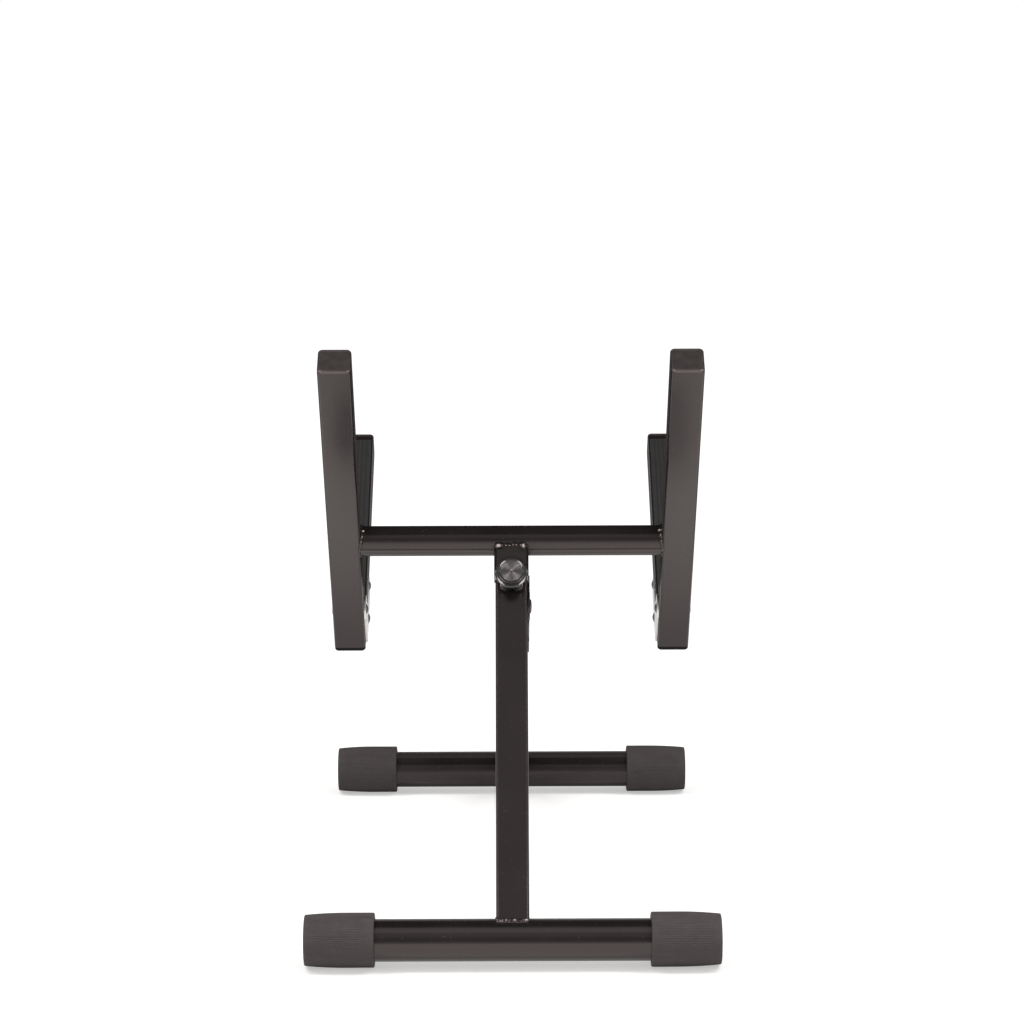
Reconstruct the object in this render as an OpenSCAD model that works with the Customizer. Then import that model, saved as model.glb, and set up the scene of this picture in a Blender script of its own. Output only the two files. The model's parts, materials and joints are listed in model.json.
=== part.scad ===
// Folding tilt-back floor stand. A rigid rear frame carries a hinged front leg with
// a screw lock, and two shelf arms that fold up against the uprights.
// Millimetres. +Y is the front, X = 0 is the middle, Z = 0 is the floor.

/* [Floor tubes] */
// Overall width of the stand over its rubber feet
stand_w = 374.4; // [340:0.2:450]
// Distance between the two floor tube axes with the stand open
spread = 552; // [520:1:580]
// Outside diameter of the floor tubes
floor_tube_d = 38; // [36:0.5:40]
// Wall thickness of every tube
wall = 1.5; // [1.2:0.1:2]

/* [Rubber feet] */
// Length of a foot along its tube
foot_l = 63; // [50:1:80]
// Largest diameter of a foot
foot_d = 49.5; // [48:0.5:56]
// Diameter of a foot at its closed end
foot_end_d = 46; // [44:0.2:47.2]
// Length of a foot's straight part
foot_straight = 25; // [10:1:35]
// Thickness of a foot's closed end
foot_end_t = 5; // [3:0.5:8]
// Depth of the flat under a foot
foot_flat = 0.5; // [0.3:0.1:1]
// Edge radius of a foot
foot_edge = 1.5; // [0.5:0.1:2.5]

/* [Rear frame] */
// Side of the square tubes
sq = 30; // [28:0.5:32]
// Outside corner radius of the square tubes
sq_r = 2.6; // [2.2:0.1:3.5]
// Lean of the rear leg, forward from the vertical
leg_lean = 32.5; // [31:0.5:34]
// Rear leg from floor tube axis to crossbar axis
leg_l = 384; // [375:1:395]
// Outside diameter of the crossbar
crossbar_d = 28.6; // [26:0.2:30]
// Distance between the middles of the two uprights
upright_pitch = 315; // [280:1:350]
// Lean of the uprights, backward from the vertical
upright_lean = 34; // [30:1:36]
// Length of an upright with its cap and plug
upright_l = 369; // [360:1:400]
// Crossbar axis below the top of the uprights
crossbar_drop = 231; // [220:1:240]
// Thickness of the flange of a plastic cap
cap_t = 3; // [2:0.5:4]
// Thickness of the flange of a plug in the lower end of an upright
plug_t = 4.5; // [2:0.5:5]
// Corner radius of a plastic cap or plug
cap_r = 4; // [3:0.5:5]
// Depth that a cap or plug reaches into its tube
insert_l = 14; // [8:1:18]
// Thickness of the two cheeks on the head of the rear leg
cheek_t = 1.2; // [0.8:0.1:1.5]
// Length of a cheek down the leg from the leg's top end
cheek_l = 28; // [20:1:30]

/* [Front leg hinge] */
// Hinge pin on the rear leg, measured from the rear floor tube axis
hinge_s = 318; // [314:1:320]
// Middle of the front leg above the hinge pin, so that it folds flat
hinge_offset = 31; // [31:0.5:33]
// Radius of the hinge pin
hinge_pin_r = 4; // [3:0.5:5]
// Radius of the eye of the hinge plate
hinge_eye_r = 13; // [11:0.5:14]
// Thickness of the hinge plate
hinge_plate_t = 2; // [2:0.1:3]
// Reach of the hinge plate down the front leg
hinge_plate_l = 150; // [100:5:160]
// Thickness of the plate that closes the top of the front leg
end_plate_t = 3; // [2:0.5:4]

/* [Screw lock] */
// Lock screw on the rear leg, measured from the rear floor tube axis
lock_s = 340; // [340:0.5:346]
// Radius of the lock screw
lock_r = 4; // [3.5:0.5:4]
// Travel of the lock screw from slack to locked
lock_travel = 4.5; // [4.5:0.5:7]
// Diameter of the knob over its lobes
knob_d = 31; // [28:0.5:36]
// Number of lobes on the knob
knob_lobes = 6; // [5:1:8]
// Diameter of the raised crown of the knob
crown_d = 25; // [22:0.5:26]
// Knob crown above the rear face of the leg with the lock slack
knob_top = 23; // [21:0.5:26]

/* [Shelf arms] */
// Length of an arm's tube
arm_l = 245; // [200:5:280]
// Arm pivot below the crossbar axis, along the upright
arm_pivot_drop = 94; // [90:1:100]
// Radius of an arm's pivot pin
arm_pin_r = 3; // [2.5:0.5:4]
// Thickness of an arm's pivot plate
arm_plate_t = 1.6; // [1.5:0.1:2.5]
// Reach of the pivot plate along the arm
arm_plate_l = 70; // [60:1:72]
// Thickness of the rubber pad on an arm
pad_t = 3; // [2:0.5:4]
// Width of the rubber pad on an arm
pad_w = 26; // [18:1:26]
// Depth of the grooves along a pad
groove_d = 0.8; // [0.4:0.1:1.2]

/* [Hidden] */
$fn = 64;

coat = [0.16, 0.15, 0.15];
rubber = [0.32, 0.30, 0.30];
plastic = [0.10, 0.10, 0.10];
zinc = [0.80, 0.79, 0.77];
dark_steel = [0.30, 0.29, 0.28];

left = -1;
right = 1;
// Running clearance of a pin in its hole
pin_gap = 0.06;
// Gap between faces that slide or close on each other
face_gap = 0.3;
// Clearance of a plug inside its tube
plug_gap = 0.1;
// Clearance under the head of a pin that a plate turns on
head_gap = 0.1;
// Extra length that carries a cut clean through
past = 1;

axis_z = foot_d / 2 - foot_flat;
rear_y = -spread / 2;
front_y = spread / 2;
floor_tube_l = stand_w - 2 * foot_end_t;
bore_w = sq - 2 * wall;
bore_r = sq_r - wall;
crossbar_l = upright_pitch - sq;
crossbar_y = rear_y + leg_l * sin(leg_lean);
crossbar_z = axis_z + leg_l * cos(leg_lean);
// The leg's head stops a little above the underside of the crossbar, for the weld
leg_head_s = leg_l - crossbar_d / 2 + 4;
leg_start_s = floor_tube_d / 4;

// The front leg's middle line passes hinge_offset above the hinge pin
hinge_y = rear_y + hinge_s * sin(leg_lean);
hinge_z = axis_z + hinge_s * cos(leg_lean);
hinge_reach = norm([front_y - hinge_y, hinge_z - axis_z]);
front_drop = atan2(hinge_z - axis_z, front_y - hinge_y) + asin(hinge_offset / hinge_reach);
front_lean = 90 - front_drop;
front_l = sqrt(hinge_reach * hinge_reach - hinge_offset * hinge_offset);
// The end plate stands parallel to the rear leg's front face
mitre = front_drop - leg_lean;
end_plate_m = sq / 2 + face_gap;
end_plate_l = sq / cos(mitre);
end_plate_s = hinge_s + (hinge_offset - sin(mitre) * (end_plate_m + end_plate_t / 2)) / cos(mitre);

knob_rim = lock_travel + 0.5;
knob_recess = 6.5;
crown_h = 3.5;
boss_r = 8;
boss_h = 5;
stud_hold = 3;
dog_l = 6;
dog_r = lock_r - 0.3;

arm_pivot_z = -arm_pivot_drop;
pad_top = -(sq / 2 + 0.5);
arm_mid = pad_top - pad_t - sq / 2;
bumper_t = 2;
bumper_insert_l = 2;
arm_start = sq / 2 + face_gap + bumper_t;
rivet_r = 2.4;
rivet_head_r = 5;
rivet_head_h = 1.8;
// Rivets of an arm's plate sit this far below and above the arm's middle line
rivet_shift = 5;

// ---------- places ----------

// Rear leg frame: Z runs up the leg from the floor tube axis, Y faces the front
module in_rear_leg() translate([0, rear_y, axis_z]) rotate([-leg_lean, 0, 0]) children();

// Upright frame: Z runs up the uprights from the crossbar axis, Y faces the front
module in_upright() translate([0, crossbar_y, crossbar_z]) rotate([upright_lean, 0, 0]) children();

// Front leg frame: Z runs up the leg from the front floor tube axis
module in_front_leg() translate([0, front_y, axis_z]) rotate([front_lean, 0, 0]) children();

// Hinge frame: as the front leg frame, with its origin on the hinge pin
module in_hinge() translate([0, hinge_y, hinge_z]) rotate([front_lean, 0, 0]) children();

// Builds for the right-hand side, and mirrors it for the left
module on_side(side) mirror([side == left ? 1 : 0, 0, 0]) children();

// Arm frame on the right: origin on the arm's pivot, Y runs out along the arm
module in_arm() in_upright() translate([upright_pitch / 2, 0, arm_pivot_z]) children();

// ---------- shared shapes ----------

module rounded_square(side, r) {
    square([side - 2 * r, side], center = true);
    square([side, side - 2 * r], center = true);
    for (x = [-1, 1], y = [-1, 1])
        translate([x, y] * (side / 2 - r)) circle(r);
}

module square_tube(l) {
    linear_extrude(l) difference() {
        rounded_square(sq, sq_r);
        rounded_square(bore_w, bore_r);
    }
}

module x_cylinder(l, r) rotate([0, 90, 0]) cylinder(h = l, r = r, center = true);

module x_tube(l, d) {
    difference() {
        x_cylinder(l, d / 2);
        x_cylinder(l + 2 * past, d / 2 - wall);
    }
}

// A cap or plug: a flange of thickness t on top of Z = 0, and a hollow insert below it
module tube_plug(t, depth) {
    linear_extrude(t) rounded_square(sq, cap_r);
    translate([0, 0, -depth]) linear_extrude(depth) difference() {
        rounded_square(bore_w - 2 * plug_gap, bore_r);
        rounded_square(bore_w - 2 * plug_gap - 2 * 2.4, bore_r);
    }
}

// A flat round-cornered plate in the YZ plane, t thick towards +X
module yz_plate(t) rotate([90, 0, 90]) linear_extrude(t) children();

// A low domed head, its flat side on Z = 0
module domed_head(r, h) {
    ball_r = (r * r + h * h) / (2 * h);
    steps = 8;
    sweep = asin(r / ball_r);
    rotate_extrude() polygon([
        [0, 0],
        for (i = [steps : -1 : 0])
            [ball_r * sin(i * sweep / steps), ball_r * cos(i * sweep / steps) - ball_r + h]
    ]);
}

// ---------- floor tubes and feet ----------

module floor_tube_at(y) color(coat) translate([0, y, axis_z]) x_tube(floor_tube_l, floor_tube_d);

// Half section of a foot: [radius, distance from its open edge]
module foot_section() {
    r = foot_d / 2;
    end_r = foot_end_d / 2;
    tube_r = floor_tube_d / 2;
    lip = 0.8;
    bend_l = foot_l - foot_edge - foot_straight;
    polygon([
        [tube_r, 0],
        [r - lip, 0],
        [r, lip],
        for (i = [0 : 8])
            [r - (r - end_r) * pow(i / 8, 2), foot_straight + bend_l * i / 8],
        for (a = [22.5 : 22.5 : 90])
            [end_r - foot_edge * (1 - cos(a)), foot_l - foot_edge * (1 - sin(a))],
        [0, foot_l],
        [0, foot_l - foot_end_t],
        [tube_r, foot_l - foot_end_t]
    ]);
}

module foot_at(side, y) color(rubber) on_side(side) {
    difference() {
        translate([stand_w / 2 - foot_l, y, axis_z])
            rotate([0, 90, 0]) rotate_extrude($fn = 96) foot_section();
        translate([stand_w / 2 - foot_l - past, y - foot_d / 2, -foot_d])
            cube([foot_l + 2 * past, foot_d, foot_d]);
    }
}

// ---------- rear frame ----------

module rear_leg() color(coat) {
    difference() {
        in_rear_leg() translate([0, 0, leg_start_s]) square_tube(leg_head_s - leg_start_s);
        translate([0, rear_y, axis_z]) x_cylinder(2 * sq, floor_tube_d / 2);
        translate([0, crossbar_y, crossbar_z]) x_cylinder(2 * sq, crossbar_d / 2);
        in_rear_leg() translate([0, 0, hinge_s]) x_cylinder(2 * sq, hinge_pin_r + pin_gap);
        in_rear_leg() translate([0, 0, lock_s]) rotate([90, 0, 0])
            cylinder(h = 2 * sq, r = lock_r + face_gap, center = true);
    }
}

module leg_head_cheeks() color(coat) {
    difference() {
        in_rear_leg() for (side = [left, right])
            translate([side * (sq + cheek_t) / 2, 0, leg_head_s - cheek_l / 2])
                cube([cheek_t, sq - 2 * sq_r, cheek_l], center = true);
        translate([0, crossbar_y, crossbar_z]) x_cylinder(2 * sq, crossbar_d / 2);
    }
}

module crossbar() color(coat) translate([0, crossbar_y, crossbar_z]) x_tube(crossbar_l, crossbar_d);

module upright(side) color(coat) on_side(side) {
    bottom = crossbar_drop - upright_l + plug_t;
    difference() {
        in_upright() translate([upright_pitch / 2, 0, bottom]) square_tube(upright_l - cap_t - plug_t);
        in_arm() x_cylinder(2 * sq, arm_pin_r + pin_gap);
    }
}

module top_cap(side) color(plastic) on_side(side)
    in_upright() translate([upright_pitch / 2, 0, crossbar_drop - cap_t]) tube_plug(cap_t, insert_l);

module bottom_plug(side) color(plastic) on_side(side)
    in_upright() translate([upright_pitch / 2, 0, crossbar_drop - upright_l + plug_t])
        mirror([0, 0, 1]) tube_plug(plug_t, insert_l);

module lock_boss() color(zinc) in_rear_leg() translate([0, -sq / 2, lock_s]) rotate([90, 0, 0]) {
    difference() {
        cylinder(h = boss_h, r = boss_r);
        translate([0, 0, -past]) cylinder(h = boss_h + 2 * past, r = lock_r + pin_gap);
    }
}

// Pin with a low pan head outside the hinge plate, riveted flush on the far side
module hinge_pin() color(dark_steel) in_rear_leg() translate([0, 0, hinge_s]) {
    head_r = 6.5;
    rim_h = 0.9;
    dome_h = 0.8;
    plate_face = sq / 2 + face_gap + hinge_plate_t + head_gap;
    rotate([0, 90, 0]) {
        translate([0, 0, -sq / 2]) cylinder(h = sq / 2 + plate_face, r = hinge_pin_r);
        translate([0, 0, plate_face]) cylinder(h = rim_h, r = head_r);
        translate([0, 0, plate_face + rim_h]) domed_head(head_r, dome_h);
    }
}

// Pin with a domed head on the inner side and a flat head on the outer side
module arm_pin(side) color(dark_steel) on_side(side) in_arm() {
    head_r = 5;
    head_h = 2;
    flat_head_t = 1;
    plate_face = sq / 2 + face_gap + arm_plate_t + head_gap;
    rotate([0, -90, 0]) {
        translate([0, 0, -sq / 2]) cylinder(h = sq / 2 + plate_face, r = arm_pin_r);
        translate([0, 0, plate_face]) domed_head(head_r, head_h);
        translate([0, 0, -sq / 2 - flat_head_t]) cylinder(h = flat_head_t, r = head_r);
    }
}

// ---------- front leg ----------

module front_leg() color(coat) {
    difference() {
        in_front_leg() translate([0, 0, leg_start_s]) square_tube(front_l - leg_start_s);
        translate([0, front_y, axis_z]) x_cylinder(2 * sq, floor_tube_d / 2);
        in_rear_leg() translate([-sq, -sq, hinge_s - sq])
            cube([2 * sq, sq + end_plate_m + end_plate_t, 4 * sq]);
    }
}

// Closes the mitred top of the front leg. The lock screw's tip enters its hole
module leg_end_plate() color(coat) in_rear_leg() {
    difference() {
        translate([-sq / 2, end_plate_m, end_plate_s - end_plate_l / 2])
            cube([sq, end_plate_t, end_plate_l]);
        translate([0, end_plate_m, lock_s]) rotate([90, 0, 0])
            cylinder(h = 4 * end_plate_t, r = lock_r + 0.2, center = true);
    }
}

// Outline in the hinge frame, as [Y, Z]: an eye on the pin, a neck, and a strap on the leg
module hinge_plate_outline() {
    half_w = 13;
    corner = 5;
    top = -18;
    neck = -62;
    low = hinge_offset - half_w;
    high = hinge_offset + half_w;
    end = -hinge_plate_l;
    polygon([
        for (a = [215 : -7.5 : 20]) hinge_eye_r * [cos(a), sin(a)],
        [low + 8, top],
        [high - corner, top],
        [high, top - corner],
        [high, end + 2 * corner],
        [high - 2 * corner, end],
        [low + 2 * corner, end],
        [low, end + 2 * corner],
        [low, neck]
    ]);
}

module hinge_plate() color(coat) in_hinge() {
    difference() {
        translate([sq / 2 + face_gap, 0, 0]) yz_plate(hinge_plate_t) hinge_plate_outline();
        x_cylinder(2 * sq, hinge_pin_r + pin_gap);
    }
}

// ---------- screw lock ----------

module lock_stud() color(zinc) in_rear_leg() translate([0, 0, lock_s]) rotate([-90, 0, 0]) {
    tip = sq / 2 - face_gap;
    held = -sq / 2 - knob_rim - knob_recess;
    translate([0, 0, held - stud_hold]) cylinder(h = tip - dog_l - held + stud_hold, r = lock_r);
    translate([0, 0, tip - dog_l]) cylinder(h = dog_l - 1, r = dog_r);
    translate([0, 0, tip - 1]) cylinder(h = 1, r1 = dog_r, r2 = dog_r - 0.8, $fn = 64);
}

// The lobed body. Its recess swallows the boss as the screw runs in
module knob() color(plastic) in_rear_leg() translate([0, -sq / 2 - knob_rim, lock_s])
rotate([90, 0, 0]) {
    body_h = knob_top - knob_rim - crown_h;
    notch_r = 3.9;
    notch_pos = knob_d / 2 + 0.8;
    edge = 1.2;
    difference() {
        rotate_extrude() polygon([
            [0, 0],
            [knob_d / 2 - 0.4, 0],
            [knob_d / 2, 0.4],
            [knob_d / 2, body_h - edge],
            [knob_d / 2 - 0.35, body_h - 0.35],
            [knob_d / 2 - edge, body_h],
            [0, body_h]
        ]);
        for (i = [0 : knob_lobes - 1])
            rotate([0, 0, i * 360 / knob_lobes - 90]) translate([notch_pos, 0, -past])
                cylinder(h = body_h + 2 * past, r = notch_r);
        translate([0, 0, -past]) cylinder(h = knob_recess + past, r = boss_r + 1.2);
        translate([0, 0, -past])
            cylinder(h = knob_recess + stud_hold + head_gap + past, r = lock_r + pin_gap);
    }
}

// Raised round crown with a shallow dome
module knob_crown() color(plastic) in_rear_leg() translate([0, -sq / 2 - knob_top + crown_h, lock_s])
rotate([90, 0, 0]) {
    crown_r = crown_d / 2;
    round_r = 1.6;
    dome_h = 0.5;
    rotate_extrude() polygon([
        [0, 0],
        [crown_r, 0],
        for (a = [0 : 22.5 : 90])
            [crown_r - round_r * (1 - cos(a)), crown_h - dome_h - round_r * (1 - sin(a))],
        for (i = [4 : -1 : 0])
            [(crown_r - round_r) * i / 5, crown_h - dome_h * pow(i / 5, 2)]
    ]);
}

// ---------- shelf arms ----------

module arm(side) color(coat) on_side(side) in_arm() translate([-face_gap, 0, arm_mid]) {
    difference() {
        translate([0, arm_start, 0]) rotate([-90, 0, 0]) square_tube(arm_l);
        for (place = arm_rivet_places())
            translate([-sq / 2, place[0], place[1]]) x_cylinder(4 * wall, rivet_r);
    }
}

// Places of the rivets, as [Y, height above the arm's middle line]
function arm_rivet_places() = [[arm_start + 6, -rivet_shift], [arm_plate_l - 12, rivet_shift]];

// Outline in the arm frame, as [Y, Z]: an eye on the pivot, widened to a strap on the arm
module arm_plate_outline() {
    eye_r = 13;
    half_w = 12.5;
    corner = 8;
    strap_top = arm_mid + half_w;
    strap_low = arm_mid - half_w;
    circle(eye_r);
    polygon([
        [-12.9, -2],
        [-9, strap_low + corner],
        [-1, strap_low],
        [arm_plate_l - corner, strap_low],
        [arm_plate_l, strap_low + corner],
        [arm_plate_l, strap_top - corner],
        [arm_plate_l - corner, strap_top],
        [eye_r + 11, strap_top],
        [12.9, -2]
    ]);
}

module arm_plate(side) color(zinc) on_side(side) in_arm() {
    difference() {
        translate([-sq / 2 - face_gap - arm_plate_t, 0, 0]) yz_plate(arm_plate_t) arm_plate_outline();
        x_cylinder(2 * sq, arm_pin_r + pin_gap);
        for (place = arm_rivet_places())
            translate([0, place[0], arm_mid + place[1]]) x_cylinder(2 * sq, rivet_r);
    }
}

module arm_rivets(side) color(dark_steel) on_side(side) in_arm() {
    plate_face = sq / 2 + face_gap + arm_plate_t;
    grip = arm_plate_t + wall;
    bulb_h = 2.5;
    for (place = arm_rivet_places())
        translate([-plate_face, place[0], arm_mid + place[1]]) rotate([0, -90, 0]) {
            domed_head(rivet_head_r, rivet_head_h);
            translate([0, 0, -grip]) cylinder(h = grip, r = rivet_r);
            translate([0, 0, -grip - bulb_h]) cylinder(h = bulb_h, r = rivet_r + 1);
        }
}

// Rubber strip with shallow grooves along it
module arm_pad(side) color(rubber) on_side(side) in_arm() translate([-face_gap, 0, 0]) {
    back = arm_start + 8;
    front = arm_start + arm_l - 8;
    grooves = 5;
    pitch = pad_w / (grooves + 1);
    difference() {
        translate([-pad_w / 2, back, pad_top - pad_t]) cube([pad_w, front - back, pad_t]);
        for (i = [1 : grooves])
            translate([-pad_w / 2 + i * pitch - groove_d / 2, back - past, pad_top - groove_d])
                cube([groove_d, front - back + 2 * past, groove_d + past]);
    }
}

module arm_cap(side) color(plastic) on_side(side) in_arm()
    translate([-face_gap, arm_start + arm_l, arm_mid]) rotate([-90, 0, 0]) tube_plug(cap_t, insert_l);

// Plug in the arm's rear end. It closes on the upright and stops the arm when it is open
module arm_bumper(side) color(plastic) on_side(side) in_arm()
    translate([-face_gap, arm_start, arm_mid]) rotate([90, 0, 0]) tube_plug(bumper_t, bumper_insert_l);

// ---------- nodes ----------

floor_tube_at(rear_y);  // rear_floor_tube
foot_at(left, rear_y);  // rear_foot_left
foot_at(right, rear_y);  // rear_foot_right
rear_leg();
leg_head_cheeks();
crossbar();
upright(left);  // upright_left
upright(right);  // upright_right
top_cap(left);  // top_cap_left
top_cap(right);  // top_cap_right
bottom_plug(left);  // bottom_plug_left
bottom_plug(right);  // bottom_plug_right
lock_boss();
hinge_pin();
arm_pin(left);  // arm_pin_left
arm_pin(right);  // arm_pin_right
front_leg();
floor_tube_at(front_y);  // front_floor_tube
foot_at(left, front_y);  // front_foot_left
foot_at(right, front_y);  // front_foot_right
hinge_plate();
leg_end_plate();
lock_stud();
knob();
knob_crown();
arm(left);  // arm_left
arm(right);  // arm_right
arm_plate(left);  // arm_plate_left
arm_plate(right);  // arm_plate_right
arm_rivets(left);  // arm_rivets_left
arm_rivets(right);  // arm_rivets_right
arm_pad(left);  // arm_pad_left
arm_pad(right);  // arm_pad_right
arm_cap(left);  // arm_cap_left
arm_cap(right);  // arm_cap_right
arm_bumper(left);  // arm_bumper_left
arm_bumper(right);  // arm_bumper_right
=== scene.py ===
"""Studio picture of a folding floor stand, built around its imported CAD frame.

Metres. +Y is the front of the stand, X = 0 its middle, Z = 0 the floor.
"""

import json
import math
import random

import bmesh
import bpy
from mathutils import Matrix, Vector, noise


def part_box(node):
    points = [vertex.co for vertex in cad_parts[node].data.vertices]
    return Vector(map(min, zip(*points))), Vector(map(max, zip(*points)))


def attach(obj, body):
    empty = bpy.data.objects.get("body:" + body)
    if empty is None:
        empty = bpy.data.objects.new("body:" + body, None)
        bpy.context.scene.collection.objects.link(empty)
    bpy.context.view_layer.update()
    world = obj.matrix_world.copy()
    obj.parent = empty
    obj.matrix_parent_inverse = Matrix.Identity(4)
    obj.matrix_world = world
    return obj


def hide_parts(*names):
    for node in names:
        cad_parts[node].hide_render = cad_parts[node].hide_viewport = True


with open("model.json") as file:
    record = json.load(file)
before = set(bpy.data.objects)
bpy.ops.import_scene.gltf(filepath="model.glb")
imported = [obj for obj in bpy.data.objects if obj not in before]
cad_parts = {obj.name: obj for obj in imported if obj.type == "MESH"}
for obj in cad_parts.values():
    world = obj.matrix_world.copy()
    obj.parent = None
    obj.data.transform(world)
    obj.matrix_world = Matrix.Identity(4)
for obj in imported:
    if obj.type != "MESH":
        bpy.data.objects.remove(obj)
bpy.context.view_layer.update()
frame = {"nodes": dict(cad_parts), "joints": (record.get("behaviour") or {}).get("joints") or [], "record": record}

MM = 0.001
RIGHT = Vector((1, 0, 0))
SIDES = {"left": -1, "right": 1}

# ---------- camera ----------

CAMERA_PLACE = Vector((-0.0028, -2.775, 0.905))
CAMERA_PITCH = 11.07
CAMERA_YAW = -0.076
CAMERA_ROLL = -0.185
CAMERA_LENS = 102.55
CAMERA_SENSOR = 36


def add_camera():
    data = bpy.data.cameras.new("camera")
    data.lens = CAMERA_LENS
    data.sensor_width = CAMERA_SENSOR
    camera = bpy.data.objects.new("camera", data)
    turns = ((CAMERA_YAW, "Z"), (90 - CAMERA_PITCH, "X"), (CAMERA_ROLL, "Z"))
    camera.matrix_world = Matrix.Translation(CAMERA_PLACE)
    for degrees, axis in turns:
        camera.matrix_world = camera.matrix_world @ Matrix.Rotation(math.radians(degrees), 4, axis)
    bpy.context.scene.collection.objects.link(camera)
    bpy.context.scene.camera = camera


# ---------- measures taken from the frame ----------

def middle(node):
    low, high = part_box(node)
    return (low + high) / 2


def half_depth(node):
    low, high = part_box(node)
    return (high.y - low.y) / 2


def joint(name):
    return next(j for j in frame["joints"] if j["name"] == name)


def span(node, origin, direction):
    """Least and greatest reach of a node from origin along a direction."""
    reaches = [(v.co - origin).dot(direction) for v in frame["nodes"][node].data.vertices]
    return min(reaches), max(reaches)


def tube_place(origin, up):
    """Local frame on a tube: Z up the tube, Y to its front face, X to the right."""
    up = Vector((0, up.y, up.z)).normalized()
    axes = Matrix((RIGHT, up.cross(RIGHT), up)).transposed()
    return Matrix.Translation(origin) @ axes.to_4x4()


def turned(origin, across, along):
    """Local frame with X across, Y along and Z square to both."""
    axes = Matrix((across, along, across.cross(along))).transposed()
    return Matrix.Translation(origin) @ axes.to_4x4()


SQUARE = 30 * MM
SQUARE_CORNER = 2.6 * MM
HINGE_OFFSET = 31 * MM

rear_axis = middle("rear_floor_tube")
front_axis = middle("front_floor_tube")
bar_axis = middle("crossbar")
hinge_axis = Vector(joint("front_leg_fold")["pos_m"])
floor_tube_r = half_depth("front_floor_tube")
bar_r = half_depth("crossbar")
foot_r = half_depth("front_foot_left")

rear_leg_place = tube_place(rear_axis, bar_axis - rear_axis)
leg_front, leg_up = rear_leg_place.to_3x3().col[1:3]
upright_place = tube_place(bar_axis, middle("upright_right") - bar_axis)
upright_front, upright_up = upright_place.to_3x3().col[1:3]


def place_front_leg():
    """The front leg's middle line passes HINGE_OFFSET above the hinge pin."""
    reach = hinge_axis - front_axis
    lift = math.atan2(reach.z, -reach.y) + math.asin(HINGE_OFFSET / math.hypot(reach.y, reach.z))
    return tube_place(front_axis, Vector((0, -math.cos(lift), math.sin(lift))))


front_leg_place = place_front_leg()

# ---------- node trees ----------

def set_socket(tree, socket, value):
    """Links a socket to a node's output, or gives it a constant."""
    if isinstance(value, bpy.types.NodeSocket):
        tree.links.new(value, socket)
    else:
        socket.default_value = value


def add_node(tree, kind, inputs=None, **settings):
    """A node with its settings and its inputs, which are looked up by name or number."""
    made = tree.nodes.new(kind)
    for key, value in settings.items():
        setattr(made, key, value)
    for key, value in (inputs or {}).items():
        set_socket(tree, made.inputs[key], value)
    return made


def math_node(tree, operation, first, second):
    return add_node(tree, "ShaderNodeMath", {0: first, 1: second}, operation=operation).outputs["Value"]


def geometry_group(name):
    """An empty geometry node group, with its incoming and outgoing sockets."""
    group = bpy.data.node_groups.new(name, "GeometryNodeTree")
    for way in ("INPUT", "OUTPUT"):
        group.interface.new_socket("Geometry", in_out=way, socket_type="NodeSocketGeometry")
    start = add_node(group, "NodeGroupInput").outputs["Geometry"]
    return group, start, add_node(group, "NodeGroupOutput").inputs["Geometry"]


def on_geometry(group, kind, geometry, inputs=None, **settings):
    """Passes geometry through a node, and gives what comes out."""
    inputs = {"Geometry": geometry, **(inputs or {})}
    return add_node(group, kind, inputs, **settings).outputs["Geometry"]


# ---------- materials ----------

# Numbers of the colour sockets in the Mix node
MIX_FIRST, MIX_SECOND, MIX_RESULT = 6, 7, 2


class Shader:
    """A Principled material, with short calls for the nodes that feed it."""

    def __init__(self, name, **sockets):
        self.material = bpy.data.materials.new(name)
        self.material.use_nodes = True
        self.tree = self.material.node_tree
        self.surface = self.tree.nodes["Principled BSDF"]
        coordinates = self.add("ShaderNodeTexCoord")
        self.place = coordinates.outputs["Object"]
        self.normal = coordinates.outputs["Normal"]
        for socket, value in sockets.items():
            self.feed(socket.replace("_", " "), value)

    def add(self, kind, inputs=None, **settings):
        return add_node(self.tree, kind, inputs, **settings)

    def feed(self, socket, value):
        set_socket(self.tree, self.surface.inputs[socket], value)

    def stretched(self, scale, turn=(0, 0, 0)):
        made = self.add("ShaderNodeMapping", {"Vector": self.place, "Scale": scale, "Rotation": turn})
        return made.outputs["Vector"]

    def mottle(self, size, detail=2, place=None, rough=0.5):
        """Noise from 0 to 1 whose blotches are about size metres across."""
        inputs = {"Vector": place or self.place, "Scale": 1 / size, "Detail": detail, "Roughness": rough}
        return self.add("ShaderNodeTexNoise", inputs).outputs["Fac"]

    def cells(self, size, feature="F1"):
        inputs = {"Vector": self.place, "Scale": 1 / size}
        return self.add("ShaderNodeTexVoronoi", inputs, feature=feature).outputs["Distance"]

    def between(self, value, low, high, start=0.0, end=1.0):
        """value from low to high turned into start to end."""
        inputs = {"Value": value, "From Min": low, "From Max": high, "To Min": start, "To Max": end}
        return self.add("ShaderNodeMapRange", inputs).outputs["Result"]

    def sum(self, first, second, share=1.0):
        inputs = {0: second, 1: share, 2: first}
        return self.add("ShaderNodeMath", inputs, operation="MULTIPLY_ADD").outputs["Value"]

    def blend(self, share, first, second):
        first, second = [(*c, 1) if isinstance(c, tuple) else c for c in (first, second)]
        inputs = {"Factor": share, MIX_FIRST: first, MIX_SECOND: second}
        return self.add("ShaderNodeMix", inputs, data_type="RGBA").outputs[MIX_RESULT]

    def relief(self, height, depth):
        """Bump of a height from 0 to 1, depth metres deep."""
        inputs = {"Height": height, "Distance": depth, "Strength": 1.0}
        return self.add("ShaderNodeBump", inputs).outputs["Normal"]

    def finished(self, colour, roughness, relief):
        """The material, once these three are fed to its surface."""
        self.feed("Base Color", colour)
        self.feed("Roughness", roughness)
        self.feed("Normal", relief)
        return self.material


WARM = (1.0, 0.86, 0.84, 1)


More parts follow.
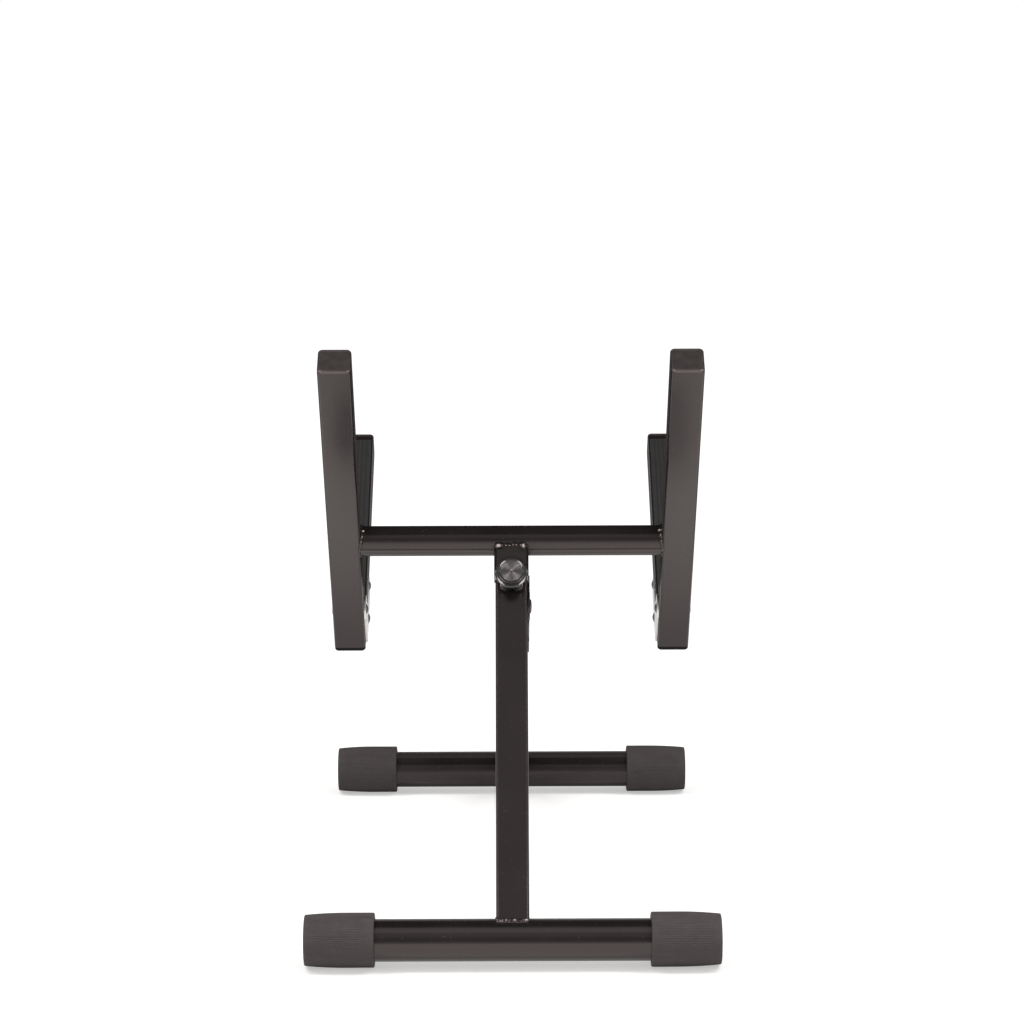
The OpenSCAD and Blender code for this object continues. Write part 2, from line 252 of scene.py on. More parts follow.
def coat(name, gloss, level):
    """Semi-gloss black coat: fine orange peel, faint clouds and a few settled dust nibs.

    The peel breaks up what the coat mirrors at a glancing angle, so it is rougher there.
    """
    made = Shader(name, IOR=1.5, Specular_IOR_Level=level, Specular_Tint=WARM)
    clouds = made.mottle(70 * MM, 3)
    peel = made.mottle(1.7 * MM, 1.5)
    nibs = made.between(made.cells(5.5 * MM), 0.05, 0.09, 1, 0)
    base = made.blend(clouds, (0.0110, 0.0088, 0.0088), (0.0150, 0.0122, 0.0120))
    base = made.blend(nibs, base, (0.045, 0.042, 0.040))
    glancing = made.add("ShaderNodeLayerWeight", {"Blend": 0.5}).outputs["Facing"]
    rough = made.sum(made.between(clouds, 0.3, 0.7, gloss, gloss + 0.07), nibs, 0.25)
    rough = made.sum(rough, made.between(glancing, 0.76, 0.93, 0, 1), 0.55)
    return made.finished(base, rough, made.relief(made.sum(peel, nibs, 0.5), 0.022 * MM))


def foot_rubber(name, darkest, palest):
    """Matt grey rubber with moulding grain and pale dust in the grain."""
    made = Shader(name, IOR=1.5, Specular_IOR_Level=0.25)
    smears = made.mottle(5 * MM, 3, made.stretched((0.12, 1, 1)))
    patches = made.between(made.sum(made.mottle(12 * MM, 4), smears), 0.6, 1.4)
    grain = made.mottle(0.55 * MM, 3)
    dust = made.between(made.mottle(2.2 * MM, 5, rough=0.7), 0.62, 0.74)
    base = made.blend(patches, darkest, palest)
    base = made.blend(made.between(dust, 0, 1, 0, 0.45), base, (0.17, 0.155, 0.15))
    rough = made.between(patches, 0.3, 0.7, 0.62, 0.76)
    return made.finished(base, rough, made.relief(grain, 0.14 * MM))


def pad_rubber():
    """Soft black rubber strip, dull, with a fine open grain."""
    made = Shader("pad_rubber", IOR=1.5, Specular_IOR_Level=0.35)
    patches = made.mottle(20 * MM, 3)
    grain = made.mottle(0.7 * MM, 4)
    base = made.blend(patches, (0.017, 0.0162, 0.0160), (0.028, 0.0265, 0.0260))
    rough = made.between(patches, 0.3, 0.7, 0.70, 0.84)
    return made.finished(base, rough, made.relief(grain, 0.12 * MM))


def cap_plastic(name, darkest, palest, level, gloss, painted_side_light=0.0):
    """Polyethylene with the pebbled grain of a spark-eroded mould. Its sides may be painted paler, as painted
    light on the faces that look sideways.
    """
    made = Shader(name, IOR=1.5, Specular_IOR_Level=level, Specular_Tint=WARM)
    clouds = made.mottle(9 * MM, 3)
    pebbles = made.cells(0.8 * MM, "SMOOTH_F1")
    fine = made.mottle(0.35 * MM, 2)
    base = made.blend(clouds, darkest, palest)
    if painted_side_light:
        # Painted light: faces that turn away from the cap's axis are mixed towards pale grey, as a bright strip
        # along the flange's side
        up = made.add("ShaderNodeSeparateXYZ", {"Vector": made.normal}).outputs["Z"]
        base = made.blend(made.between(up, 0.3, 0.8, painted_side_light, 0), base, (0.16, 0.142, 0.138))
    rough = made.between(clouds, 0.3, 0.7, gloss, gloss + 0.1)
    return made.finished(base, rough, made.relief(made.sum(pebbles, fine, 0.4), 0.07 * MM))


def knob_plastic():
    """Gloss charcoal moulding with slight sink, flow lines and hair scratches."""
    made = Shader("knob_plastic", IOR=1.5, Specular_IOR_Level=0.95)
    flow = made.mottle(7 * MM, 3)
    hairs = made.mottle(0.6 * MM, 2, made.stretched((1, 0.06, 0.3), (0.3, 0.2, 0.5)))
    base = made.blend(flow, (0.020, 0.0172, 0.0170), (0.030, 0.0260, 0.0258))
    rough = made.sum(made.between(flow, 0.3, 0.7, 0.09, 0.15), hairs, 0.05)
    return made.finished(base, rough, made.relief(made.sum(flow, hairs, 0.02), 0.10 * MM))


TURNED_PITCH = 0.32 * MM
# The Wave texture has a ring every 2 pi / 20 at a scale of 1
WAVE_RING = 2 * math.pi / 20


def turned_disc():
    """Metal face of the knob: lathe-turned rings that spread each light into a sector."""
    made = Shader("knob_turned_face", Metallic=1.0, Anisotropic=1.0)
    rings = made.add(
        "ShaderNodeTexWave",
        {"Vector": made.place, "Scale": WAVE_RING / TURNED_PITCH, "Distortion": 0.6,
         "Detail": 1.0, "Detail Scale": 0.4},
        wave_type="RINGS", rings_direction="Z",
    ).outputs["Fac"]
    clouds = made.mottle(5 * MM, 2)
    tangent = made.add("ShaderNodeTangent", direction_type="RADIAL", axis="Z").outputs["Tangent"]
    base = made.blend(clouds, (0.165, 0.152, 0.150), (0.235, 0.217, 0.214))
    made.feed("Tangent", tangent)
    rough = made.between(clouds, 0.3, 0.7, 0.30, 0.38)
    return made.finished(base, rough, made.relief(rings, 0.012 * MM))


def zinc_steel():
    """Bright zinc plate: rolled grain, faint spangle and a trace of yellow passivate."""
    made = Shader("zinc_steel", Metallic=1.0)
    tint = made.mottle(24 * MM, 3)
    spangle = made.cells(3.5 * MM)
    rolled = made.mottle(1.1 * MM, 3, made.stretched((1, 0.08, 0.5), (0.66, 0, 0)))
    base = made.blend(tint, (0.66, 0.665, 0.67), (0.74, 0.72, 0.67))
    rough = made.sum(made.between(rolled, 0.3, 0.7, 0.26, 0.38), spangle, 0.08)
    return made.finished(base, rough, made.relief(rolled, 0.03 * MM))


def dark_steel():
    """Blackened steel of pins and rivets, with bright worn patches."""
    made = Shader("dark_steel", Metallic=1.0)
    patches = made.mottle(3.2 * MM, 4)
    scuffs = made.between(made.mottle(0.9 * MM, 5, rough=0.75), 0.60, 0.72)
    base = made.blend(patches, (0.105, 0.100, 0.098), (0.165, 0.158, 0.152))
    base = made.blend(scuffs, base, (0.34, 0.33, 0.32))
    rough = made.between(patches, 0.3, 0.7, 0.30, 0.44)
    return made.finished(base, rough, made.relief(patches, 0.05 * MM))


CAP_SHADES = ((0.019, 0.0158, 0.0156), (0.041, 0.0345, 0.0340))
# Painted shade: the bottom plugs, of the same cap plastic, get far darker tones where they close the uprights'
# lower ends and face down
SHADED_PLUG_TONES = ((0.0040, 0.0034, 0.0034), (0.0070, 0.0060, 0.0060))

finishes = {
    "powder_coat": coat("powder_coat", 0.17, 0.72),
    "foot_rubber": foot_rubber("foot_rubber", (0.049, 0.0405, 0.0405), (0.073, 0.0615, 0.0615)),
    "pad_rubber": pad_rubber(),
    "cap_plastic": cap_plastic("cap_plastic", *CAP_SHADES, 1.0, 0.32),
    "knob_plastic": knob_plastic(),
    "zinc_steel": zinc_steel(),
    "dark_steel": dark_steel(),
}
# The rear feet get a paler copy of the front feet's rubber. This is painted light: one rubber, lit at the rear and
# in shade at the front
lit_foot_finish = foot_rubber("lit_foot_rubber", (0.063, 0.0525, 0.0525), (0.094, 0.0790, 0.0790))
turned_finish = turned_disc()
weld_finish = coat("weld_coat", 0.12, 1.0)
# A darker copy of the cap plastic for the bottom plugs: painted shade
shaded_plug_finish = cap_plastic("shaded_plug_plastic", *SHADED_PLUG_TONES, 0.15, 0.55)
# The top caps' flange sides are painted paler: painted light
top_cap_finish = cap_plastic("top_cap_plastic", *CAP_SHADES, 1.0, 0.32, 0.26)
PLUGS = ("bottom_plug_left", "bottom_plug_right")

# ---------- CAD nodes: finishes and eased edges ----------

EDGE_ROUNDING = {
    "powder_coat": 0.25 * MM,
    "cap_plastic": 0.6 * MM,
    "zinc_steel": 0.3 * MM,
    "dark_steel": 0.25 * MM,
}
# The thin cheeks of the leg's head are dressed off by hand, so they get soft edges
SOFT_EDGES = {"leg_head_cheeks": 0.9 * MM}
SHARP = math.radians(35)
FLAT = math.radians(0.6)
JOIN_REACH = 0.002 * MM
EDGE_STEPS = 3


def joined_surface():
    """Node group that joins the CAD mesh's split corners, and smooths all but its sharp edges."""
    group, start, end = geometry_group("joined_surface")
    plain = on_geometry(group, "GeometryNodeRemoveAttribute", start, {"Name": "custom_normal"})
    joined = on_geometry(group, "GeometryNodeMergeByDistance", plain, {"Distance": JOIN_REACH})
    smooth = on_geometry(group, "GeometryNodeSetShadeSmooth", joined, domain="FACE")
    angle = add_node(group, "GeometryNodeInputMeshEdgeAngle").outputs["Unsigned Angle"]
    sharp = add_node(group, "FunctionNodeCompare", {"A": angle, "B": SHARP}, operation="GREATER_THAN")
    creases = {"Selection": sharp.outputs["Result"], "Shade Smooth": False}
    set_socket(group, end, on_geometry(group, "GeometryNodeSetShadeSmooth", smooth, creases, domain="EDGE"))
    return group


def dress_cad_nodes():
    surface = joined_surface()
    for row in frame["record"]["subparts"]:
        made, slot = frame["nodes"][row["node"]], row["material_slot"]
        for holder in made.material_slots:
            # The bottom plugs take the darker copy of the cap plastic: painted shade
            holder.material = shaded_plug_finish if row["node"] in PLUGS else finishes[slot]
        if slot not in EDGE_ROUNDING:
            continue
        made.modifiers.new("joined", "NODES").node_group = surface
        flat = made.modifiers.new("flat", "DECIMATE")
        flat.decimate_type = "DISSOLVE"
        flat.angle_limit = FLAT
        bevel = made.modifiers.new("bevel", "BEVEL")
        bevel.width = SOFT_EDGES.get(row["node"], EDGE_ROUNDING[slot])
        bevel.segments = EDGE_STEPS
        bevel.limit_method = "ANGLE"
        bevel.angle_limit = SHARP
        bevel.harden_normals = True


# ---------- meshes ----------

def loft(rings, around=False):
    """Skin over rings of equal count: closed on itself, or with a flat face at each end."""
    count = len(rings[0])
    faces = []
    for i in range(len(rings) if around else len(rings) - 1):
        a = i * count
        b = (i + 1) % len(rings) * count
        faces += [(a + j, a + (j + 1) % count, b + (j + 1) % count, b + j) for j in range(count)]
    if not around:
        faces.append(tuple(range(count)))
        faces.append(tuple(range((len(rings) - 1) * count, len(rings) * count)))
    return [point for ring in rings for point in ring], faces


def add_piece(name, skin, body, slot, where=None, finish=None):
    """A smooth piece with crisp edges, which rides on a body and takes a slot's finish."""
    mesh = bpy.data.meshes.new(name)
    mesh.from_pydata(skin[0], [], skin[1])
    outward = bmesh.new()
    outward.from_mesh(mesh)
    bmesh.ops.recalc_face_normals(outward, faces=outward.faces)
    outward.to_mesh(mesh)
    outward.free()
    mesh.shade_smooth()
    mesh.set_sharp_from_angle(angle=SHARP)
    mesh.materials.append(finish or finishes[slot])
    piece = bpy.data.objects.new(name, mesh)
    bpy.context.scene.collection.objects.link(piece)
    if where is not None:
        piece.matrix_world = where
    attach(piece, body)
    return piece


def ring(radius, z, count):
    """Points round the Z axis. radius is a number or a function of the turn."""
    points = []
    for i in range(count):
        turn = 2 * math.pi * i / count
        r = radius(turn) if callable(radius) else radius
        points.append(Vector((r * math.cos(turn), r * math.sin(turn), z)))
    return points


def spun(profile, count):
    """Skin over rings round the Z axis, given as pairs of radius and z."""
    return loft([ring(radius, z, count) for radius, z in profile])


def arc(middle_r, middle_z, radius, start, end, steps):
    """Points [r, z] on an arc, from one angle to another, in degrees."""
    angles = [math.radians(start + (end - start) * i / steps) for i in range(steps + 1)]
    return [(middle_r + radius * math.cos(a), middle_z + radius * math.sin(a)) for a in angles]


# ---------- rubber feet ----------

FOOT_RIBS = 100
RIB_DEPTH = 0.30 * MM
FOOT_STRAIGHT = 25 * MM
FOOT_END_R = 23.0 * MM
FOOT_LIP = 1.2 * MM
FOOT_EDGE = 1.2 * MM
FOOT_BLIND_END = 5 * MM
FOOT_BORE_EDGE = 0.5 * MM
FOOT_SKIN = 1 * MM
# The closed end: the flat rim's inner radius, the dish's radius and depth, and its middle
FOOT_RIM_R = 18 * MM
FOOT_DISH_R = 16.5 * MM
FOOT_DISH = 0.4 * MM
FOOT_MIDDLE_R = 2 * MM
RIB_RUN_IN = 0.8 * MM
RIB_END_FADE = 0.8
RIB_POINTS = 4
TAPER_STEPS = 8
# Waver of the surface: depth, its noise along and round a foot, and shifts that make each foot differ
FOOT_WAVER = 0.30 * MM
WAVER_ALONG = 35
WAVER_ROUND = 1.3
WAVER_SIDE_SHIFT = 7
WAVER_ROW_SHIFT = 9


def foot_profile(length):
    """[radius, distance from the open edge, share of rib depth], from the bore round to the end."""
    profile = [(floor_tube_r, length - FOOT_BLIND_END, 0), (floor_tube_r, FOOT_BORE_EDGE, 0)]
    profile.append((floor_tube_r + FOOT_BORE_EDGE, 0, 0))
    profile += [(r, z, 0) for r, z in arc(foot_r - FOOT_LIP, FOOT_LIP, FOOT_LIP, 270, 360, 4)]
    profile += [(foot_r, FOOT_LIP + RIB_RUN_IN, 1), (foot_r, FOOT_STRAIGHT / 2, 1)]
    taper = length - FOOT_STRAIGHT - FOOT_EDGE
    for i in range(TAPER_STEPS + 1):
        share = i / TAPER_STEPS
        r = foot_r - (foot_r - FOOT_END_R) * share ** 2
        profile.append((r, FOOT_STRAIGHT + taper * share, 1 - RIB_END_FADE * (i == TAPER_STEPS)))
    end = arc(FOOT_END_R - FOOT_EDGE, length - FOOT_EDGE, FOOT_EDGE, 0, 90, 4)
    profile += [(r, z, 0) for r, z in end[1:]]
    dish = length - FOOT_DISH
    return profile + [(FOOT_RIM_R, length, 0), (FOOT_DISH_R, dish, 0), (FOOT_MIDDLE_R, dish, 0)]


def foot_ring(radius, along, ribbed, outer, side, centre):
    """One ring of a foot: ribbed, slightly wavy, and flat where it stands on the floor."""
    points = []
    count = FOOT_RIBS * RIB_POINTS
    for i in range(count):
        turn = 2 * math.pi * i / count
        r = radius - ribbed * RIB_DEPTH * (0.5 - 0.5 * math.cos(FOOT_RIBS * turn))
        if outer:
            y = math.cos(turn) * WAVER_ROUND + side * WAVER_SIDE_SHIFT
            z = math.sin(turn) * WAVER_ROUND + centre.y * WAVER_ROW_SHIFT
            r -= FOOT_WAVER * (0.5 + 0.5 * noise.noise(Vector((along * WAVER_ALONG, y, z))))
        points.append(Vector((0, centre.y + r * math.cos(turn), max(centre.z + r * math.sin(turn), 0))))
    return points


def add_foot(row, side):
    name = f"{row}_foot_{side}"
    sign = SIDES[side]
    low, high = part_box(name)
    length = high.x - low.x
    open_x = low.x if sign > 0 else high.x
    rings = []
    for radius, along, ribbed in foot_profile(length):
        outer = radius > floor_tube_r + FOOT_SKIN
        points = foot_ring(radius, along, ribbed, outer, sign, middle(name))
        rings.append([Vector((open_x + sign * along, p.y, p.z)) for p in points])
    # The rear feet take the paler copy of the rubber, which is painted light
    body, finish = ("rear_frame", lit_foot_finish) if row == "rear" else ("front_leg_frame", None)
    foot = add_piece(f"ribbed_{name}", loft(rings), body, "foot_rubber", finish=finish)
    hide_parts(name)


# ---------- weld beads ----------

PUDDLE = 6.6 * MM
PUDDLE_STRAY = 0.2
PUDDLE_LUCK = (0.84, 1.12)
PUDDLE_DRAWS = 61
# Share of a bead's height between puddles, its rise over a puddle, and the rise's exponent
SWELL_LOW = 0.55
SWELL_RISE = 0.45
SWELL_FULLNESS = 0.6
BEAD_STEP = 0.35 * MM
BEAD_SIDES = 12
CORNER_STEPS = 8
# Share of its radius that an open bead has at its ends
BEAD_TIP = 0.25


def square_loop(half, corner):
    """Points [x, y] round a rounded square, about BEAD_STEP apart."""
    points = []
    straight = 2 * (half - corner)
    steps = round(straight / BEAD_STEP)
    for quarter in range(4):
        turn = Matrix.Rotation(math.radians(90 * quarter), 2)
        for i in range(steps):
            points.append(turn @ Vector((half, -straight / 2 + straight * i / steps)))
        for i in range(CORNER_STEPS):
            a = math.radians(90 * i / CORNER_STEPS)
            spot = Vector((half - corner + corner * math.cos(a), half - corner + corner * math.sin(a)))
            points.append(turn @ spot)
    return points


def swell(travel, luck):
    """Bead height along its run, which rises over the middle of every puddle."""
    puddle = travel / PUDDLE
    share = puddle - math.floor(puddle)
    level = luck[int(puddle) % len(luck)]
    return level * (SWELL_LOW + SWELL_RISE * math.sin(math.pi * share) ** SWELL_FULLNESS)


def add_bead(name, path, radius, body, closed=True, seed=1):
    """A weld bead of overlapping puddles along a path of points."""
    dice = random.Random(seed)
    luck = [dice.uniform(*PUDDLE_LUCK) for _ in range(PUDDLE_DRAWS)]
    stray = [Vector([dice.uniform(-1, 1) for _ in range(3)]) * PUDDLE_STRAY for _ in range(PUDDLE_DRAWS)]
    count = len(path)
    rings = []
    travel = 0
    side = None
    for i, point in enumerate(path):
        ahead = path[(i + 1) % count] if closed or i < count - 1 else point
        behind = path[i - 1] if closed or i > 0 else point
        tangent = (ahead - behind).normalized()
        side = tangent.orthogonal() if side is None else side - tangent * side.dot(tangent)
        side.normalize()
        other = tangent.cross(side)
        near = radius[i] if isinstance(radius, list) else radius
        if not closed:
            near *= min(1, BEAD_TIP + min(i, count - 1 - i) * BEAD_STEP / near)
        size = near * swell(travel, luck)
        puddle = travel / PUDDLE
        centre = point + near * stray[int(puddle) % PUDDLE_DRAWS] * math.sin(math.pi * (puddle % 1)) ** 2
        rings.append([
            centre + size * (math.cos(t) * side + math.sin(t) * other)
            for t in (2 * math.pi * j / BEAD_SIDES for j in range(BEAD_SIDES))
        ])
        travel += (ahead - point).length
    if closed:
        rings = matched_ends(rings)
    add_piece(name, loft(rings, closed), body, "powder_coat")


def matched_ends(rings):
    """Turns the last ring's numbering so that a closed bead joins without a twist."""
    def gap(shift):
        return (rings[-1][shift] - rings[0][0]).length
    shift = min(range(BEAD_SIDES), key=gap)
    total = len(rings)
    out = []
    for i, points in enumerate(rings):
        moved = shift * i / (total - 1)
        whole = int(round(moved)) % BEAD_SIDES
        out.append(points[whole:] + points[:whole])
    return out


SIDE_BEAD = 1.6 * MM
FACE_BEAD = 3.1 * MM
BEAD_INSET = 1.1 * MM
BEAD_LIFT = 0.6 * MM
# Where the bead starts to thicken, and over what run it does, in half sides of the leg
FACE_START = 0.55
FACE_RISE = 0.4


def bead_size(y):
    """The bead is stout across the front and rear faces of a leg, and thin along its sides."""
    share = min(max((abs(y) / (SQUARE / 2) - FACE_START) / FACE_RISE, 0), 1)
    return SIDE_BEAD + (FACE_BEAD - SIDE_BEAD) * share


def leg_on_tube(place, tube_r):
    """Where a square leg meets a round tube that crosses the leg's origin."""
    loop = square_loop(SQUARE / 2 - BEAD_INSET, SQUARE_CORNER)
    path = [place @ Vector((x, y, math.sqrt(tube_r ** 2 - y ** 2) + BEAD_LIFT)) for x, y in loop]
    return path, [bead_size(y) for x, y in loop]


LEG_HEAD_GAP = 10.3 * MM
HEAD_THINNING = 0.35
# Share of the gap that is added to the bead's radius
GAP_FILL = 0.35


def leg_under_bar():
    """The head of the rear leg: the bead fills the gap that widens at its front and back."""
    up_to_bar = (bar_axis - rear_axis).length
    path, radii = [], []
    for x, y in square_loop(SQUARE / 2 - BEAD_INSET, SQUARE_CORNER):
        drop = max(math.sqrt(max(bar_r ** 2 - y ** 2, 0)), LEG_HEAD_GAP)
        reach = math.hypot(y, drop)
        gap = max(reach - bar_r, 0)
        scale = (bar_r + gap / 2) / reach
        path.append(rear_leg_place @ Vector((x, y * scale, up_to_bar - drop * scale)))
        radii.append(bead_size(y) * (1 - HEAD_THINNING * (1 - (x / SQUARE * 2) ** 2)) + GAP_FILL * gap)
    return path, radii


BAR_BEAD = 1.2 * MM
BAR_LUMP = 2.6 * MM
BAR_LUMP_TURN = math.radians(112)
BAR_LUMP_SHARPNESS = 4
BAR_BEAD_POINTS = 250
BAR_BEAD_LIFT = 0.3 * MM


def bar_on_upright(side):
    """Ring where the crossbar meets an upright's inner face, thin but for a lump on top."""
    sign = SIDES[side]
    inner = abs(middle(f"upright_{side}").x) - SQUARE / 2
    path, radii = [], []
    for i in range(BAR_BEAD_POINTS):
        turn = 2 * math.pi * i / BAR_BEAD_POINTS
        radial = (bar_r + BAR_BEAD_LIFT) * Vector((math.cos(turn), math.sin(turn)))
        past_flat = max(abs(radial.x) - (SQUARE / 2 - SQUARE_CORNER), 0)
        depth = SQUARE_CORNER - math.sqrt(max(SQUARE_CORNER ** 2 - past_flat ** 2, 0))
        path.append(upright_place @ Vector((sign * (inner + depth - BAR_BEAD_LIFT), radial.x, radial.y)))
        radii.append(BAR_BEAD + BAR_LUMP * max(math.cos(turn - BAR_LUMP_TURN), 0) ** BAR_LUMP_SHARPNESS)
    return path, radii


STITCH_BEAD = 1.4 * MM
STITCH_INSET = 1.6 * MM
# Stitches that hold the hinge plate: [edge of the leg, start, end], millimetres down from the pin
STITCHES = [(1, -62, -38), (1, -126, -100), (-1, -96, -72), (-1, -136, -112)]


def stitch_path(edge, start, end):
    """A short run along the hinge plate's upper or lower edge, on the leg's right side."""
    pin_s = (hinge_axis - front_axis).dot(front_leg_place.to_3x3().col[2])
    x = SQUARE / 2 + BEAD_LIFT
    y = edge * (SQUARE / 2 - STITCH_INSET)
    steps = round(abs(end - start) * MM / BEAD_STEP)
    return [
        front_leg_place @ Vector((x, y, pin_s + (start + (end - start) * i / steps) * MM))
        for i in range(steps + 1)
    ]


END_BEAD = 1.2 * MM
END_BEAD_INSET = 1.3 * MM
END_BEAD_LIFT = 0.4 * MM


def end_plate_path():
    """Round the front leg's mitred top, where it meets the plate that closes it."""
    face = span("leg_end_plate", rear_axis, leg_front)[1] + END_BEAD_LIFT
    slope = front_leg_place.to_3x3().col[2].dot(leg_front)
    path = []
    for x, y in square_loop(SQUARE / 2 - END_BEAD_INSET, SQUARE_CORNER):
        foot = front_leg_place @ Vector((x, y, 0))
        path.append(front_leg_place @ Vector((x, y, (face - (foot - rear_axis).dot(leg_front)) / slope)))
    return path


# Craters: smooth flat drops where a run was stopped, which catch the light
CRATER_LOOK = Vector((0.31, -0.91, 0.27))
CRATER_POINTS = 28
CRATER_STEPS = 12
CRATER_FULLNESS = 0.6
CRATER_HEIGHT = 0.5
# The outline's unevenness: depth, waves in it, and a shift that makes each crater differ
CRATER_UNEVEN = 0.22
CRATER_WAVES = 1.4
CRATER_SHIFT = 3.7
# [middle from the leg's middle, half length, half width], millimetres
HEAD_CRATERS = [(-11.5, 4.2, 2.6), (-1.5, 1.0, 0.8), (-4.8, 1.1, 0.8), (10.9, 2.9, 3.5)]
FOOT_CRATERS = [(-5.8, 1.5, 1.1), (1.6, 2.2, 1.3), (11.9, 2.7, 1.8)]
BAR_CRATER = (2.0, 1.8)
# How far the craters stand off: out from a face, up past each weld's line, and in from an upright
CRATER_OUT = 1.6 * MM
HEAD_CRATER_UP = 3.2 * MM
FOOT_CRATER_UP = 2.4 * MM
BAR_CRATER_IN = 2.6 * MM
BAR_CRATER_SIDE = Vector((0, -0.66, 0.75))


def add_crater(name, centre, sign, long, wide, seed):
    """A flattened drop of weld metal whose face looks to the side given by sign."""
    look = Vector((CRATER_LOOK.x * sign, CRATER_LOOK.y, CRATER_LOOK.z)).normalized()
    across = (RIGHT - look * look.x).normalized()

    def outline(scale):
        def at(turn):
            x, y = math.cos(turn), math.sin(turn)
            spot = Vector((x * CRATER_WAVES, y * CRATER_WAVES, seed * CRATER_SHIFT))
            bump = 1 + CRATER_UNEVEN * noise.noise(spot)
            return scale * bump * MM / math.hypot(x / long, y / wide)
        return at

    profile = []
    for i in range(1, CRATER_STEPS):
        turn = math.radians(-90 + 180 * i / CRATER_STEPS)
        z = CRATER_HEIGHT * wide * MM * math.sin(turn)
        profile.append((outline(math.cos(turn) ** CRATER_FULLNESS), z))
    place = turned(centre, across, look.cross(across))
    add_piece(name, spun(profile, CRATER_POINTS), "rear_frame", "powder_coat", place, weld_finish)


def add_craters():
    up_to_bar = (bar_axis - rear_axis).length
    half = SQUARE / 2
    seat = math.sqrt(floor_tube_r ** 2 - half ** 2)
    out = (half + CRATER_OUT) * leg_front
    runs = {
        "head": (HEAD_CRATERS, (up_to_bar - bar_r + HEAD_CRATER_UP) * leg_up - out),
        "foot": (FOOT_CRATERS, (seat + FOOT_CRATER_UP) * leg_up - out),
    }
    for run, (craters, reach) in runs.items():
        for number, (x, long, wide) in enumerate(craters):
            sign = math.copysign(1, x)
            centre = rear_axis + reach + x * MM * RIGHT
            add_crater(f"weld_crater_{run}_{number}", centre, sign, long, wide, number + x)
    for side, sign in SIDES.items():
        inner = abs(middle(f"upright_{side}").x) - half
        lift = (bar_r + CRATER_OUT) * BAR_CRATER_SIDE
        place = Vector((sign * (inner - BAR_CRATER_IN), bar_axis.y, bar_axis.z)) + lift
        add_crater(f"weld_crater_bar_{side}", place, -sign, *BAR_CRATER, sign)


def add_welds():
    add_bead("weld_rear_leg_foot", *leg_on_tube(rear_leg_place, floor_tube_r), "rear_frame", seed=3)
    add_bead("weld_rear_leg_head", *leg_under_bar(), "rear_frame", seed=5)
    for seed, side in enumerate(SIDES):
        add_bead(f"weld_crossbar_{side}", *bar_on_upright(side), "rear_frame", seed=7 + seed)
    add_bead("weld_front_leg_foot", *leg_on_tube(front_leg_place, floor_tube_r), "front_leg_frame", seed=11)
    add_bead("weld_leg_end_plate", end_plate_path(), END_BEAD, "front_leg_frame", seed=13)
    for number, (edge, start, end) in enumerate(STITCHES, 1):
        path = stitch_path(edge, start, end)
        add_bead(f"weld_hinge_plate_{number}", path, STITCH_BEAD, "front_leg_frame", False, 20 + number)


# ---------- knob and stud ----------

knob_axis = Vector(joint("lock_knob_turn")["pos_m"])
knob_out = -leg_front
KNOB_LOBES = 6
KNOB_POINTS = 240
NOTCH_R = 4.3 * MM
NOTCH_CENTRE = 15.9 * MM
LOBE_ROUND = 1.1 * MM
FLANGE = 1.9 * MM
RUN_OUT = 0.4 * MM
FLANGE_UNDERCUT = 0.5 * MM
FLANGE_TOP_R = 8 * MM
SLOPE_W = 2.0 * MM
# Degrees from the flat, at the slope's inner and outer edge
SLOPE_START, SLOPE_END = 14, 34
SIDE_ROUND = 0.7 * MM
GRIP_EDGE = 0.4 * MM
BORE_STOP = 1.0 * MM
RECESS_R = 9.2 * MM
RECESS_DEPTH = 6.5 * MM
RECESS_EDGE = 0.3 * MM
# The search for the lobed outline: its least radius, its reach past the greatest, and its halvings
SEARCH_FROM = 6 * MM
SEARCH_PAST = 0.1 * MM
SEARCH_STEPS = 26


def knob_place(node):
    """Local frame on the knob's axis at the node's near face: Z outwards, Y up the leg."""
    near = span(node, knob_axis, knob_out)[0]
    return turned(knob_axis + near * knob_out, RIGHT, leg_up)


def soft_max(a, b, blend):
    """The greater of two values, eased where they are within blend of each other."""
    share = max(blend - abs(a - b), 0) / blend
    return max(a, b) + share * share * blend / 4


def lobed(radius, inset):
    """Radius of the lobed outline, set in by a distance, as a function of the turn."""
    def at(turn):
        step = 2 * math.pi / KNOB_LOBES
        off = (turn + math.pi / 2 + step / 2) % step - step / 2
        low, high = SEARCH_FROM, radius + SEARCH_PAST
        for _ in range(SEARCH_STEPS):
            r = (low + high) / 2
            to_notch = math.hypot(r * math.cos(off) - NOTCH_CENTRE, r * math.sin(off))
            outside = soft_max(r - radius, NOTCH_R - to_notch, LOBE_ROUND) + inset
            low, high = (r, high) if outside < 0 else (low, r)
        return (low + high) / 2
    return at


def flange_profile(radius, height):
    """[r, z] over the flange: a round side, then a slope that eases into the flat top."""
    sweep = SLOPE_W / (math.sin(math.radians(SLOPE_END)) - math.sin(math.radians(SLOPE_START)))
    slope = arc(0, 0, sweep, 90 - SLOPE_END, 90 - SLOPE_START, 6)
    top_r, top_z = slope[-1]
    slope = [(r - top_r, z - top_z) for r, z in slope]
    inner_r = radius - SIDE_ROUND * (1 - math.sin(math.radians(SLOPE_END))) - SLOPE_W
    slope = [(inner_r + r, height + z) for r, z in slope]
    side_z = slope[0][1] - SIDE_ROUND * math.cos(math.radians(SLOPE_END))
    side = arc(radius - SIDE_ROUND, side_z, SIDE_ROUND, 0, 90 - SLOPE_END, 4)
    return side[:-1] + slope + [(FLANGE_TOP_R, height)]


